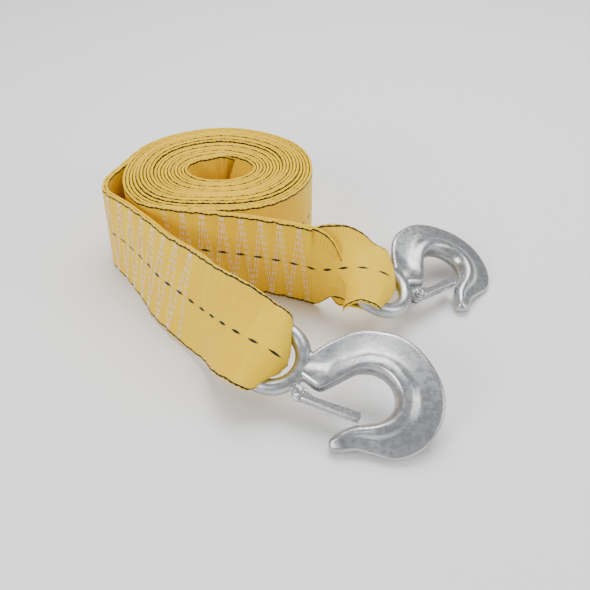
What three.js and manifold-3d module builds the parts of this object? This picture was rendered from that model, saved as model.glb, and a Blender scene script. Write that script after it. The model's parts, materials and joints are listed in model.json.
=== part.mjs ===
// Tow strap: one length of woven webbing, folded in half and rolled up from the fold,
// with a forged eye hook sewn into the loop at each end.
// Millimetres, +Z up. The roll stands on its webbing edge and the hooks lie on the same floor.

import * as THREE from 'three';
import { mergeVertices } from 'three/addons/utils/BufferGeometryUtils.js';
import Module from 'manifold-3d';

const wasm = await Module();
wasm.setup();

// Webbing.
const webbingWidth = 50.8;
const webbingThickness = 1.6;
const sewnGap = 0.3;

// Roll: the fold sits at the back of the bore and both strands wind outwards together.
const boreHalfLength = 18;
const boreHalfWidth = 13;
const boreShift = 1;
const fullTurns = 9;
const foldAngle = 90;
const frontLeavesAt = 72;
const rearLeavesAt = 138;
const stationsPerTurn = 24;
const foldSteps = 4;
// Air between two turns, at every eighth of a circle, from the right side counter-clockwise.
const airBetweenTurns = [0.42, 0.62, 0.71, 0.62, 0.42, 0.62, 0.26, 0.46];

// Leads from the roll to the hooks: the angle about the roll, the distance beyond its reach,
// and the lean of the webbing away from upright, for the middle of the webbing's width.
const frontLead = [
  { angle: 178, beyond: 3.9, lean: 0 },
  { angle: 191.9, beyond: 10.4, lean: 0 },
  { angle: 203.3, beyond: 13.2, lean: 2 },
  { angle: 221.2, beyond: 10.5, lean: 7 },
  { angle: 242, beyond: 17.2, lean: 13 },
  { angle: 251.1, beyond: 25.1, lean: 17 },
  { angle: 261, beyond: 34.9, lean: 21 },
  { angle: 265.8, beyond: 41.6, lean: 22 },
];
const rearLead = [
  { angle: 246.5, beyond: -4.5, lean: 0 },
  { angle: 267.6, beyond: -5.2, lean: 0 },
  { angle: 289.6, beyond: 2.9, lean: 0 },
  { angle: 304.1, beyond: 19.7, lean: 0 },
  { angle: 310.2, beyond: 35.7, lean: 0 },
  { angle: 312, beyond: 42, lean: 0 },
];
const leadStep = 6;
const frontTail = 150;
const rearTail = 88;

// Loop that holds a hook's eye: the webbing gathers to the loop width inside the eye.
const loopWidth = 16;
const loopShoulder = 40;
const loopSlack = 9;
const loopClearance = 0.3;
const loopSteps = 6;
const wrapStep = 30;

// Forged hook, in its own frame: X along the pull from the eye's centre, Y towards the tip.
// The stations' X is measured from the middle of the eye's bar.
const eyeRadius = 14.8;
const eyeBarRadius = 4.1;
const neckThickness = 8.4;
const bowlThickness = 12.4;
const tipThickness = 9;
const edgeThickness = 3.4;
const innerEdgeShare = 0.22;
const outerEdgeShare = 0.3;
const hookStations = [
  { inner: [0.2, 3.5], outer: [0.2, -7], bead: 7.6, edge: 6 },
  { inner: [5.7, 5.5], outer: [4.8, -14.5], bead: neckThickness, edge: 5 },
  { inner: [12.8, 6.4], outer: [10.6, -22], bead: neckThickness, edge: edgeThickness },
  { inner: [16.8, 2.4], outer: [15.2, -26.8], bead: 9.4, edge: edgeThickness },
  { inner: [20.8, -2.8], outer: [21.4, -30.6], bead: 10.4, edge: edgeThickness },
  { inner: [25.2, -8], outer: [29.2, -33], bead: 11.4, edge: edgeThickness },
  { inner: [30.8, -10.7], outer: [38.2, -33.9], bead: bowlThickness, edge: edgeThickness },
  { inner: [36.2, -11], outer: [47.2, -31.6], bead: bowlThickness, edge: edgeThickness },
  { inner: [41.2, -9.2], outer: [56.6, -26], bead: bowlThickness, edge: edgeThickness },
  { inner: [45.2, -5.4], outer: [64.6, -18], bead: bowlThickness, edge: edgeThickness },
  { inner: [47, -0.4], outer: [69.2, -6.4], bead: bowlThickness, edge: edgeThickness },
  { inner: [46, 4.4], outer: [68.6, 4.8], bead: bowlThickness, edge: edgeThickness },
  { inner: [43, 8], outer: [64.2, 14.2], bead: bowlThickness, edge: edgeThickness },
  { inner: [38.8, 11], outer: [56.2, 21], bead: 11.6, edge: edgeThickness },
  { inner: [34.6, 13.6], outer: [46.2, 22.8], bead: 10.6, edge: 4 },
  { inner: [31.2, 16.6], outer: [38.8, 24.6], bead: 9.6, edge: 5 },
  { inner: [28.6, 19.8], outer: [33.8, 28], bead: tipThickness, edge: 6 },
  { inner: [26.6, 23.4], outer: [29.6, 29.2], bead: 7, edge: 5 },
  { inner: [26.2, 25.6], outer: [27.6, 28.4], bead: 4, edge: 3 },
];
// Half section from the inner edge (0) to the outer edge (1), as shares of the chord,
// and as shares of the way from the edge thickness up to the bead thickness.
const beadProfile = [
  { along: 0, height: 0 },
  { along: 0.05, height: 0.62 },
  { along: 0.17, height: 1 },
  { along: 0.34, height: 0.86 },
  { along: 0.52, height: 0.34 },
  { along: 0.9, height: 0.04 },
  { along: 1, height: 0 },
];

// Latch, its rivet and its spring, placed by the pivot in the hook's frame.
const pivotBeyondBar = 4.7;
const pivotAside = 11.03;
const lugRadius = 3.9;
const lugThickness = 2.6;
const channelInside = 5.8;
const latchSheet = 1;
const latchLength = 30;
const latchDepth = 5;
const latchWaist = 1;
const latchWaistAt = 8;
const latchEyeRadius = 3.6;
const latchRise = 2.9;
const latchSlope = -3.4;
const rivetRadius = 1.5;
const rivetHeadRadius = 2.6;
const rivetHeadThickness = 0.8;
const rivetHeadTaper = 0.8;
const runningGap = 0.3;
const springWire = 0.7;
const springRadius = 2.6;
const springTurns = 2;
const springLeg = [2.4, -2];
const springCoilGap = 0.1;
const springStepsPerTurn = 12;

// Sides of round shapes.
const fullCircle = 360;
const barSides = 12;
const ringSides = 30;
const pinSides = 20;
const headSides = 16;

// Where each hook lies: the middle of the eye's bar where the strap pulls on it, and two directions,
// the pull and the way to the tip.
// The bearing is the angle in the hook's plane between the pull and the strap that holds the eye.
const frontHook = {
  held: [23, -130.65, 24.81], pull: [0.895, -0.425, -0.135], tip: [-0.434, -0.759, -0.486], bearing: 4.5,
};
const rearHook = {
  held: [78.76, -80.35, 27.26], pull: [0.79, 0.585, -0.175], tip: [0.486, -0.789, -0.377], bearing: 45.4,
};

// Finishes.
const webbingYellow = { color: 0xe8b81c, roughness: 0.75, metalness: 0 };
const zinc = { color: 0xb9babc, roughness: 0.38, metalness: 0.9 };
const sheetSteel = { color: 0xc4c5c7, roughness: 0.32, metalness: 0.9 };

const up = new THREE.Vector3(0, 0, 1);

function polar(angle, radius) {
  const turn = THREE.MathUtils.degToRad(angle);
  return new THREE.Vector3(radius * Math.cos(turn), radius * Math.sin(turn), webbingWidth / 2);
}

// A closed surface through sections with the same number of points, closed by a fan at each end.
function loft(sections) {
  const count = sections[0].length;
  const points = sections.flat();
  const faces = [];
  for (let row = 0; row < sections.length - 1; row += 1) {
    for (let column = 0; column < count; column += 1) {
      const next = (column + 1) % count;
      const a = row * count + column;
      const b = row * count + next;
      faces.push(a, b, b + count, a, b + count, a + count);
    }
  }
  [0, sections.length - 1].forEach((row, end) => {
    const middle = new THREE.Vector3();
    sections[row].forEach((point) => middle.addScaledVector(point, 1 / count));
    points.push(middle);
    for (let column = 0; column < count; column += 1) {
      const a = row * count + column;
      const b = row * count + ((column + 1) % count);
      faces.push(...(end === 0 ? [b, a] : [a, b]), points.length - 1);
    }
  });
  const geometry = new THREE.BufferGeometry().setFromPoints(points);
  geometry.setIndex(faces);
  if (signedVolume(geometry) < 0) {
    geometry.setIndex(faces.map((_, i) => faces[i - (i % 3) + [0, 2, 1][i % 3]]));
  }
  return geometry;
}

function signedVolume(geometry) {
  const position = geometry.getAttribute('position');
  const index = geometry.getIndex();
  const corner = [0, 1, 2].map(() => new THREE.Vector3());
  let volume = 0;
  for (let i = 0; i < index.count; i += 3) {
    corner.forEach((point, k) => point.fromBufferAttribute(position, index.getX(i + k)));
    volume += corner[0].dot(corner[1].cross(corner[2])) / 6;
  }
  return volume;
}

function solid(geometry) {
  const bare = geometry.clone();
  bare.deleteAttribute('normal');
  bare.deleteAttribute('uv');
  const merged = mergeVertices(bare, 1e-4);
  return new wasm.Manifold(new wasm.Mesh({
    numProp: 3,
    vertProperties: new Float32Array(merged.getAttribute('position').array),
    triVerts: new Uint32Array(merged.getIndex().array),
  }));
}

function geometryOf(manifold) {
  const mesh = manifold.getMesh();
  const geometry = new THREE.BufferGeometry();
  geometry.setAttribute('position', new THREE.BufferAttribute(mesh.vertProperties, 3));
  geometry.setIndex(new THREE.BufferAttribute(mesh.triVerts, 1));
  return geometry;
}

function named(name, geometry, finish) {
  const mesh = new THREE.Mesh(geometry, new THREE.MeshStandardMaterial(finish));
  mesh.name = name;
  return mesh;
}

// The bore is an oval, set a little towards the front.
function boreRadius(angle) {
  const turn = THREE.MathUtils.degToRad(angle);
  const oval = Math.hypot(boreHalfWidth * Math.cos(turn), boreHalfLength * Math.sin(turn));
  return (boreHalfLength * boreHalfWidth) / oval - boreShift * Math.sin(turn);
}

function airAt(angle) {
  const eighths = airBetweenTurns.length;
  const place = ((((angle / fullCircle) % 1) + 1) % 1) * eighths;
  const first = Math.floor(place);
  const value = (step) => airBetweenTurns[(first + step + eighths) % eighths];
  const share = place - first;
  const smooth = share * share * (3 - 2 * share);
  return value(0) + (value(1) - value(0)) * smooth;
}

// Distance from the roll's centre to the middle of the webbing in a given layer.
function layerRadius(angle, layer) {
  const pitch = webbingThickness + airAt(angle);
  return boreRadius(angle) + webbingThickness / 2 + layer * pitch;
}

// One strand of the roll from the fold outwards. Two layers are added by every turn.
function strand(startLayer, endTurn) {
  const stations = [];
  const stepAngle = fullCircle / stationsPerTurn;
  for (let turn = 0; turn < endTurn; turn += stepAngle) {
    const layer = startLayer + (2 * turn) / fullCircle;
    stations.push(polar(foldAngle + turn, layerRadius(foldAngle + turn, layer)));
  }
  return stations.map((centre) => ({ centre, across: up.clone(), width: webbingWidth }));
}

function hookAxes({ held, pull, tip, bearing }) {
  const x = new THREE.Vector3(...pull).normalize();
  const z = x.clone().cross(new THREE.Vector3(...tip)).normalize();
  const y = z.clone().cross(x);
  const bar = new THREE.Vector3(...held);
  const strapwards = x.clone().applyAxisAngle(z, THREE.MathUtils.degToRad(bearing)).negate();
  const centre = bar.clone().addScaledVector(strapwards, -eyeRadius);
  return { centre, x, y, z, strapwards, bar };
}

// The hairpin that joins the innermost layers of the two strands.
function fold() {
  const outer = layerRadius(foldAngle, 1);
  const inner = layerRadius(foldAngle, 0);
  const middle = polar(foldAngle, (outer + inner) / 2);
  const outwards = polar(foldAngle, 1).setZ(0);
  const forwards = outwards.clone().cross(up);
  const stations = [];
  for (let step = 1; step < foldSteps; step += 1) {
    const turn = (Math.PI * step) / foldSteps;
    const reach = (outer - inner) / 2;
    const centre = middle.clone()
      .addScaledVector(outwards, reach * Math.cos(turn))
      .addScaledVector(forwards, reach * Math.sin(turn));
    stations.push({ centre, across: up.clone(), width: webbingWidth });
  }
  return stations;
}

// The lead from the last stations of a strand, through its points, to the end of the sewn zone.
function lead(strandEnd, route) {
  const reach = layerRadius(180, 2 * fullTurns + 1);
  const points = strandEnd.map((station) => station.centre.clone());
  const leans = strandEnd.map(() => 0);
  route.forEach(({ angle, beyond, lean }) => {
    points.push(polar(angle, reach + beyond));
    leans.push(lean);
  });
  const curve = new THREE.CatmullRomCurve3(points, false, 'centripetal');
  const pieces = Math.round(curve.getLength() / leadStep);
  const knots = points.length - 1;
  const stations = [];
  for (let step = 1; step <= pieces; step += 1) {
    const t = step / pieces;
    const along = curve.getTangent(t);
    const first = Math.min(Math.floor(t * knots), knots - 1);
    const lean = THREE.MathUtils.lerp(leans[first], leans[first + 1], t * knots - first);
    const left = up.clone().cross(along).normalize();
    const leaning = THREE.MathUtils.degToRad(lean);
    const across = up.clone().multiplyScalar(Math.cos(leaning)).addScaledVector(left, Math.sin(leaning));
    stations.push({ centre: curve.getPoint(t), across, width: webbingWidth });
  }
  return stations;
}

// The loop: from the sewn zone over the near side of the eye's bar, through the eye
// and back under the bar. Its thickness keeps the webbing's section as it gathers.
function loop(hook, leadStations) {
  const end = frames(leadStations).at(-1);
  const gathered = hook.strapwards.clone().cross(hook.z);
  if (gathered.dot(end.across) < 0) gathered.negate();
  const bulk = (width) => (webbingThickness * webbingWidth) / width;
  const seat = eyeBarRadius + loopClearance + loopWidth ** 2 / (8 * eyeRadius);
  const wrap = seat + bulk(loopWidth) / 2;
  const middle = hook.bar.clone().addScaledVector(hook.strapwards, -loopSlack);
  const near = middle.clone().addScaledVector(hook.z, -wrap);
  const far = middle.clone().addScaledVector(hook.z, wrap);
  const sewnUnder = end.centre.clone().addScaledVector(end.out, -(webbingThickness + sewnGap));
  const run = (start, finish) => {
    const pull = start.distanceTo(finish) / 3;
    return new THREE.CubicBezierCurve3(
      start,
      start.clone().addScaledVector(end.along, pull),
      finish.clone().addScaledVector(hook.strapwards, pull),
      finish,
    );
  };
  const layer = (curve) => {
    const stations = [];
    for (let step = 1; step < loopSteps; step += 1) {
      const t = step / loopSteps;
      const width = THREE.MathUtils.lerp(webbingWidth, loopShoulder, t);
      const across = end.across.clone().lerp(gathered, t * t * (3 - 2 * t)).normalize();
      stations.push({ centre: curve.getPoint(t), across, width, thickness: bulk(width) });
    }
    return stations;
  };
  const wrapped = [];
  for (let turn = 0; turn <= 180; turn += wrapStep) {
    const angle = THREE.MathUtils.degToRad(turn);
    const width = THREE.MathUtils.lerp(loopShoulder, loopWidth, Math.sin(angle));
    const centre = middle.clone()
      .addScaledVector(hook.strapwards, -wrap * Math.sin(angle))
      .addScaledVector(hook.z, -wrap * Math.cos(angle));
    wrapped.push({ centre, across: gathered.clone(), width, thickness: bulk(width) });
  }
  return [...layer(run(end.centre, near)), ...wrapped, ...layer(run(sewnUnder, far)).reverse()];
}

function frames(stations) {
  return stations.map((station, i) => {
    const before = stations[Math.max(i - 1, 0)].centre;
    const after = stations[Math.min(i + 1, stations.length - 1)].centre;
    const along = after.clone().sub(before).normalize();
    const out = along.clone().cross(station.across).normalize();
    return { ...station, along, out };
  });
}

// The tail lies flat against the roll's side of its lead, from the loop back to its cut end.
function tail(leadStations, length, side) {
  const stations = [];
  const run = frames(leadStations).reverse();
  let travelled = 0;
  for (let i = 0; i < run.length && travelled < length; i += 1) {
    travelled += i > 0 ? run[i].centre.distanceTo(run[i - 1].centre) : 0;
    const centre = run[i].centre.clone()
      .addScaledVector(run[i].out, side * (webbingThickness + sewnGap));
    stations.push({ centre, across: run[i].across.clone(), width: webbingWidth });
  }
  return stations;
}

function webbing(hooks) {
  const front = strand(1, fullCircle * fullTurns + frontLeavesAt);
  const rear = strand(0, fullCircle * fullTurns + rearLeavesAt);
  const frontRun = lead(front.slice(-2), frontLead);
  const rearRun = lead(rear.slice(-2), rearLead);
  const frontLoop = loop(hooks.front, frontRun);
  const rearLoop = loop(hooks.rear, rearRun);
  const frontEnd = [...front.slice(0, -1), ...frontRun, ...frontLoop, ...tail(frontRun, frontTail, -1)];
  const rearEnd = [...rear.slice(0, -1), ...rearRun, ...rearLoop, ...tail(rearRun, rearTail, -1)];
  const stations = frames([...frontEnd.reverse(), ...fold(), ...rearEnd]);
  const sections = stations.map(({ centre, across, out, width, thickness = webbingThickness }) => (
    [[1, 1], [1, -1], [-1, -1], [-1, 1]].map(([side, face]) => centre.clone()
      .addScaledVector(across, (side * width) / 2)
      .addScaledVector(out, (face * thickness) / 2))
  ));
  return loft(sections);
}

function hookBody() {
  const sections = hookStations.map(({ inner, outer, bead, edge }) => {
    const start = new THREE.Vector3(eyeRadius + inner[0], inner[1], 0);
    const chord = new THREE.Vector3(eyeRadius + outer[0], outer[1], 0).sub(start);
    const half = beadProfile.map(({ along, height }) => {
      const thickness = (edge + (bead - edge) * height) / 2;
      return start.clone().addScaledVector(chord, along).setZ(thickness);
    });
    half[0].setZ(bead * innerEdgeShare);
    half[half.length - 1].setZ(edge * outerEdgeShare);
    const under = half.map((point) => point.clone().setZ(-point.z)).reverse();
    return [...half, ...under];
  });
  return loft(sections);
}

function pivot() {
  return new THREE.Vector3(eyeRadius + pivotBeyondBar, pivotAside, 0);
}

function disc(radius, thickness, centre) {
  const geometry = new THREE.CylinderGeometry(radius, radius, thickness, pinSides);
  return geometry.rotateX(Math.PI / 2).translate(centre.x, centre.y, centre.z);
}

function hookGeometry() {
  const eye = new THREE.TorusGeometry(eyeRadius, eyeBarRadius, barSides, ringSides);
  const lugMiddle = pivot().setZ(-(channelInside / 2 - runningGap) + lugThickness / 2);
  const bore = solid(disc(rivetRadius + runningGap, 4 * lugThickness, lugMiddle));
  const forged = solid(eye).add(solid(hookBody())).add(solid(disc(lugRadius, lugThickness, lugMiddle)));
  return geometryOf(forged.subtract(bore));
}

// The latch is a folded channel: a web on the mouth side and two flanges with an eye each.
function latchGeometry() {
  const outside = channelInside + 2 * latchSheet;
  const flange = new THREE.Shape();
  flange.absarc(0, 0, latchEyeRadius, Math.PI / 2, (3 * Math.PI) / 2, false);
  flange.lineTo(latchWaistAt, -latchWaist);
  flange.lineTo(latchLength, latchRise - latchDepth);
  flange.lineTo(latchLength, latchRise);
  flange.lineTo(latchEyeRadius, latchEyeRadius);
  const outline = new THREE.ExtrudeGeometry(flange, { depth: outside, bevelEnabled: false, curveSegments: 10 });
  outline.translate(0, 0, -outside / 2);
  const room = new THREE.BoxGeometry(4 * latchLength, 4 * latchRise, channelInside);
  room.translate(0, latchRise - latchSheet - 2 * latchRise, 0);
  const mouth = new THREE.BoxGeometry(3 * latchEyeRadius, 4 * latchEyeRadius, channelInside);
  const bore = solid(disc(rivetRadius + runningGap, 2 * outside, new THREE.Vector3()));
  return geometryOf(solid(outline).subtract(solid(room)).subtract(solid(mouth)).subtract(bore));
}

function rivetGeometry() {
  const half = channelInside / 2 + latchSheet + runningGap;
  const outline = [
    [0, -half - rivetHeadThickness],
    [rivetHeadRadius * rivetHeadTaper, -half - rivetHeadThickness],
    [rivetHeadRadius, -half],
    [rivetRadius, -half],
    [rivetRadius, half],
    [rivetHeadRadius, half],
    [rivetHeadRadius * rivetHeadTaper, half + rivetHeadThickness],
    [0, half + rivetHeadThickness],
  ].map(([radius, height]) => new THREE.Vector2(radius, height));
  return new THREE.LatheGeometry(outline, headSides).rotateX(Math.PI / 2);
}

// A torsion spring beside the lug, with one leg against the neck.
function springGeometry() {
  const points = [];
  const low = -(channelInside / 2 - runningGap) + lugThickness + runningGap + springWire / 2;
  for (let step = 0; step <= springTurns * springStepsPerTurn; step += 1) {
    const turn = (Math.PI * 2 * step) / springStepsPerTurn;
    points.push(new THREE.Vector3(
      springRadius * Math.cos(turn),
      springRadius * Math.sin(turn),
      low + (step / springStepsPerTurn) * (springWire + springCoilGap),
    ));
  }
  const last = points[points.length - 1];
  points.push(last.clone().add(new THREE.Vector3(...springLeg, 0)));
  const wire = new THREE.Shape().absarc(0, 0, springWire / 2, 0, Math.PI * 2);
  const path = new THREE.CatmullRomCurve3(points);
  return new THREE.ExtrudeGeometry(wire, { steps: 2 * springTurns * springStepsPerTurn, extrudePath: path, curveSegments: 3 });
}

const hooks = { front: hookAxes(frontHook), rear: hookAxes(rearHook) };
const strap = new THREE.Group();
const holes = Object.values(hooks).map((hook) => {
  const clearance = new THREE.TorusGeometry(eyeRadius, eyeBarRadius + loopClearance, barSides, ringSides);
  clearance.applyMatrix4(new THREE.Matrix4().makeBasis(hook.x, hook.y, hook.z).setPosition(hook.centre));
  return solid(clearance);
});
const webbingSolid = holes.reduce((rest, hole) => rest.subtract(hole), solid(webbing(hooks)));
strap.add(named('webbing_strap', geometryOf(webbingSolid), webbingYellow));

for (const [end, hook] of Object.entries(hooks)) {
  const assembly = new THREE.Group();
  assembly.applyMatrix4(new THREE.Matrix4().makeBasis(hook.x, hook.y, hook.z).setPosition(hook.centre));
  const hinge = new THREE.Group();
  hinge.position.copy(pivot());
  const latch = named(`latch_${end}`, latchGeometry(), sheetSteel);
  latch.rotation.z = THREE.MathUtils.degToRad(latchSlope);
  hinge.add(latch);
  hinge.add(named(`latch_rivet_${end}`, rivetGeometry(), sheetSteel));
  hinge.add(named(`latch_spring_${end}`, springGeometry(), sheetSteel));
  assembly.add(named(`hook_${end}`, hookGeometry(), zinc), hinge);
  strap.add(assembly);
}

// The origin is the middle of the overall box, on the floor.
strap.updateMatrixWorld(true);
const bounds = new THREE.Box3().setFromObject(strap, true);
const middle = bounds.getCenter(new THREE.Vector3());
const group = new THREE.Group();
strap.position.set(-middle.x, -middle.y, -bounds.min.z);
group.add(strap);
group.updateMatrixWorld(true);

export default group;
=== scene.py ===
import json
import math

import bpy
import numpy as np
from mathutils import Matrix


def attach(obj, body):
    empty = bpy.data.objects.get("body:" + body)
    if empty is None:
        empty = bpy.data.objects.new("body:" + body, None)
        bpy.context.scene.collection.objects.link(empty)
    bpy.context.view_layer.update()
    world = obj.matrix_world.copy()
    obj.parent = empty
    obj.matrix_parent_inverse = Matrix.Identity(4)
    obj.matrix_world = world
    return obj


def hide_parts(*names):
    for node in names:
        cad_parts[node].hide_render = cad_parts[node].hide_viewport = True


bl_info = {
    "name": "Rolled tow strap",
    "version": (1, 0, 0),
    "blender": (4, 5, 0),
    "location": "View3D > Sidebar > Tow Strap",
    "description": "Webbing strap rolled up from its middle, with a forged eye hook in each end loop",
    "category": "Add Mesh",
}

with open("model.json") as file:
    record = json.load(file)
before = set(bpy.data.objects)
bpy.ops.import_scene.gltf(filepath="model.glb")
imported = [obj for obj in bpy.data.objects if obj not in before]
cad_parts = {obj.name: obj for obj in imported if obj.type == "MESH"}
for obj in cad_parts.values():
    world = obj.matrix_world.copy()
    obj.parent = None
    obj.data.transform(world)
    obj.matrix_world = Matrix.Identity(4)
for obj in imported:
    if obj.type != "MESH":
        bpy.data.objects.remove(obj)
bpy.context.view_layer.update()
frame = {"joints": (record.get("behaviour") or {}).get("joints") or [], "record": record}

# Lengths below are in millimetres and angles in degrees, unless a comment says otherwise.
MM = 0.001
UP = np.array([0.0, 0.0, 1.0])

# The roll: half sizes of its oval bore and the bore's shift to the front, the number of turns,
# the angle of the fold and its steps, the angle between stations, the angle over which a
# strand passes into its lead, and the angle that each strand has turned when it leaves.
BORE_HALF_LENGTH = 18
BORE_HALF_WIDTH = 13
BORE_SHIFT = 1
FULL_TURNS = 9
FOLD_ANGLE = 90
FOLD_STEPS = 13
TURN_STEP = 6
STRAND_STEP = 15
FRONT_LAST_TURN = 360 * FULL_TURNS + 60
REAR_LAST_TURN = 360 * FULL_TURNS + 135

# Air between two turns at each eighth of the circle.
AIR_BETWEEN_TURNS = (0.42, 0.62, 0.71, 0.62, 0.42, 0.62, 0.26, 0.46)

# The kink over the fold: its place and depth, and its spread along a turn and over the layers.
KINK_ANGLE = 90
KINK_DEPTH = 3.4
KINK_SPREAD = 13
KINK_LAYERS = 2.5

# The rise of the outer turns: the layer where it begins, the layers it takes and its height;
# how far a turn wanders, and its phase by layer and by angle. Both are gone when RISE_END layers
# are left, and fade out over RISE_FADE layers before that.
RING_LAYER = 9
RING_SOFTNESS = 1.5
RING_RISE = 1.3
WANDER = 0.5
WANDER_PHASES = (2.4, 1.3)
RISE_END = 1.5
RISE_FADE = 2

# The sewn zones: gap between the two layers, length over which the sewing sets in, lengths of
# the folded-back tails, and plain webbing between the last stitch and the loop.
SEWN_GAP = 0.3
SEWN_EASE = 4
FRONT_TAIL = 150
REAR_TAIL = 88
FRONT_PLAIN = 1.5
REAR_PLAIN = 1.5

# Stitches: distance between the two threads of a line, distance from the edge, start and end
# as shares of a stitch's place, height of its bow, dip of its ends, and reach of the pucker.
TWIN_OFFSET = 1.5
STITCH_INSET = 1.5
STITCH_SHARES = (0.08, 0.86)
STITCH_BOW = 0.32
STITCH_DIP = 0.1
PUCKER_SPREAD = 1.1

# Section of the webbing: rounded share of its half width, share of the thickness left at the
# edge, and share of a gathered arch that stands above the middle line.
EDGE_SHARE = 0.03
EDGE_THICKNESS = 0.25
ARCH_MIDDLE = 0.4

# Tracer yarns: place of the edge line, length and height of its waves and ripples, its half
# width and how much that changes; then period of the dashes, what is added to their wave, and
# their half width.
TRACER_PLACE = 24.25
TRACER_WAVE = (8.5, 0.2)
TRACER_RIPPLE = (2.9, 0.06)
TRACER_HALF_WIDTH = (0.5, 0.1)
DASH_PERIOD = 10.5
DASH_OFFSET = 0.45
DASH_HALF_WIDTH = 0.55

# Points of the leads to the hooks: angle about the roll, distance beyond its reach, and lean.
FRONT_LEAD = (
    (178, 3.9, 0), (191.9, 10.4, 0), (203.3, 13.2, 2), (221.2, 10.5, 7),
    (242, 17.2, 13), (251.1, 25.1, 17), (261, 34.9, 21), (265.8, 41.6, 22),
)
REAR_LEAD = (
    (246.5, -4.5, 0), (267.6, -5.2, 0), (289.6, 2.9, 0),
    (304.1, 19.7, 0), (310.2, 35.7, 0), (312, 42, 0),
)

# Each end: name, layer of its strand at the fold, last turn, lead, plain stretch and tail.
ENDS = (
    ("front", 1, FRONT_LAST_TURN, FRONT_LEAD, FRONT_PLAIN, FRONT_TAIL),
    ("rear", 0, REAR_LAST_TURN, REAR_LEAD, REAR_PLAIN, REAR_TAIL),
)

# Samples along a lead's curve, and the even step that they are brought to.
LEAD_SAMPLES = 800
LEAD_STEP = 1.4

# Places: the front eye from the roll's centre, and the strap's bearing in each hook's plane.
FRONT_EYE_FROM_ROLL = (35.7, -137.8)
STRAP_BEARING = {"front": 4.5, "rear": 45.4}

# The eye: radius of its ring to the middle of the bar, and radius of the bar.
EYE_RADIUS = 14.8
EYE_BAR_RADIUS = 4.1

# The loop: the webbing's width inside the eye, on the near side and on the far side; its lift
# above the hook and off its own face; the shares of the way between which each side twists;
# the share in which the far side narrows; how gathered it is, from 0 to 1, where it meets the
# bar; what is cut from the lead before the loop; and the stations of each side.
LOOP_WIDTH = 16
LOOP_SHOULDER = 44
LOOP_UNDER = 24
LOOP_LIFT = {"front": (1.5, 0), "rear": (2, 1)}
LOOP_TWIST = {"front": (0.25, 1), "rear": (0, 0.9)}
FAR_TWIST = (0.4, 1)
FAR_NARROWING = 0.5
LOOP_GATHER = 0.5
LOOP_TRIM = {"front": 0, "rear": 10}
LOOP_STEPS = 26

# Round the bar: the power by which the width fills out again, slack towards the hook, clearance
# about the bar, how far beside the bar the webbing still makes way for it, as a multiple of the
# radius that it keeps clear, and the stations.
LOOP_FULLNESS = 0.6
LOOP_SLACK = 10.5
LOOP_CLEARANCE = 0.3
CLEARING_REACH = 1.9
WRAP_STEPS = 31

# Gathered webbing: height of its arch, depth of its small folds and their number across it.
CROWN = 6
FOLD_DEPTH = 0.35
FOLD_WAVES = 4

# The hook's forged body from the eye's centre: X and Y of the inner edge, X and Y of the outer
# edge, thickness of the bead and thickness of the edge.
HOOK_STATIONS = (
    (15, 3.5, 15, -7, 7.6, 6),
    (20.5, 5.5, 19.6, -14.5, 8.4, 5),
    (27.6, 6.4, 25.4, -22, 8.4, 3.4),
    (31.6, 2.4, 30, -26.8, 9.4, 3.4),
    (35.6, -2.8, 36.2, -30.6, 10.4, 3.4),
    (40, -8, 44, -33, 11.4, 3.4),
    (45.6, -10.7, 53, -33.9, 12.4, 3.4),
    (51, -11, 62, -31.6, 12.4, 3.4),
    (56, -9.2, 71.4, -26, 12.4, 3.4),
    (60, -5.4, 79.4, -18, 12.4, 3.4),
    (61.8, -0.4, 84, -6.4, 12.4, 3.4),
    (60.8, 4.4, 83.4, 4.8, 12.4, 3.4),
    (57.8, 8, 79, 14.2, 12.4, 3.4),
    (53.6, 11, 71, 21, 11.6, 3.4),
    (49.4, 13.6, 61, 22.8, 10.6, 4),
    (46, 16.6, 53.6, 24.6, 9.6, 5),
    (43.4, 19.8, 48.6, 28, 9, 6),
    (41.4, 23.4, 44.4, 29.2, 7, 5),
    (41, 25.6, 42.4, 28.4, 4, 3),
)

# Its section: bead height at shares of the way from the inner to the outer edge, rounding of
# both edges as shares of the thickness there, and the grid that melts its parts into one skin.
BEAD_PROFILE = ((0, 0.5), (0.05, 0.8), (0.17, 1), (0.34, 0.86), (0.52, 0.34), (0.9, 0.04), (1, 0))
INNER_ROUNDING = 0.42
OUTER_ROUNDING = 0.45
SKIN_VOXEL = 0.55

# Latch, rivet and spring: the pivot from the eye's centre, the lug on the hook, the latch's
# channel, the rivet and the torsion spring. The slope is the latch's own, when it is closed.
PIVOT_FROM_EYE = (19.5, 11.03, 0)
LUG_RADIUS = 3.9
LUG_THICKNESS = 2.6
CHANNEL_INSIDE = 5.8
LATCH_SHEET = 1
LATCH_LENGTH = 30
LATCH_DEPTH = 5
LATCH_WAIST = 1
LATCH_WAIST_AT = 8
LATCH_BEND = 0.8
LATCH_EYE_RADIUS = 3.6
LATCH_RISE = 2.9
LATCH_SLOPE = -3.4
LATCH_WELD = 0.02
LATCH_SOFT_EDGE = 0.2
RIVET_RADIUS = 1.5
RIVET_HEAD_RADIUS = 2.6
RIVET_HEAD_THICKNESS = 0.8
RIVET_BORE = 0.95
RUNNING_GAP = 0.3
SPRING_WIRE = 0.7
SPRING_RADIUS = 2.6
SPRING_TURNS = 2
SPRING_COIL_GAP = 0.1
SPRING_LEG = (2.4, -2, 0)

# The camera looks along +Y, pitched down. The floor reaches FLOOR_HALF metres to each side.
CAMERA_FROM_ROLL = (46.3, -383.5, 251)
CAMERA_PITCH = 37.9
CAMERA_LENS = 42.71
FLOOR_HALF = 4.0
WORLD_STRENGTH = 0.45

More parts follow.
